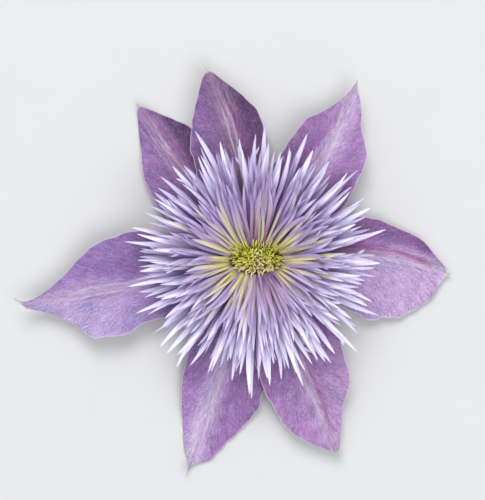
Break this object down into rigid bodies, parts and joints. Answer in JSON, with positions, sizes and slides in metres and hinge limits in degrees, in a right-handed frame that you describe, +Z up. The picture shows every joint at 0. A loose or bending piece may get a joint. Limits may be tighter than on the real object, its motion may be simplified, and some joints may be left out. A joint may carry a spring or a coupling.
{
  "type": "clematis flower",
  "caption": "Open double clematis flower, picked and lying face up: broad pointed sepals under a dense boss of narrow petaloids, with a small tuft in the middle and a short cut stalk.",
  "frame": {"origin": "on the surface the flower lies on, under the middle of its outline", "axes": "+Z up out of the flower's face, +Y towards its top sepal, +X to the right seen from the front"},
  "size_m": [0.1319, 0.1243, 0.0257],
  "materials": {
    "sepal": "thin satin petal tissue, lilac with a paler ribbed bar",
    "petaloid": "thin satin petal tissue, pale lilac to near white",
    "tuft": "matte, yellow-green",
    "stalk": "matte green-brown, finely downy"
  },
  "bodies": {
    "root": {"sepal_left": "sepal", "sepal_upper_left": "sepal", "sepal_top": "sepal", "sepal_upper_right": "sepal", "sepal_right": "sepal", "sepal_lower_right": "sepal", "sepal_lower_left": "sepal", "stalk": "stalk", "petaloids": "petaloid", "tuft": "tuft"}
  },
  "joints": []
}
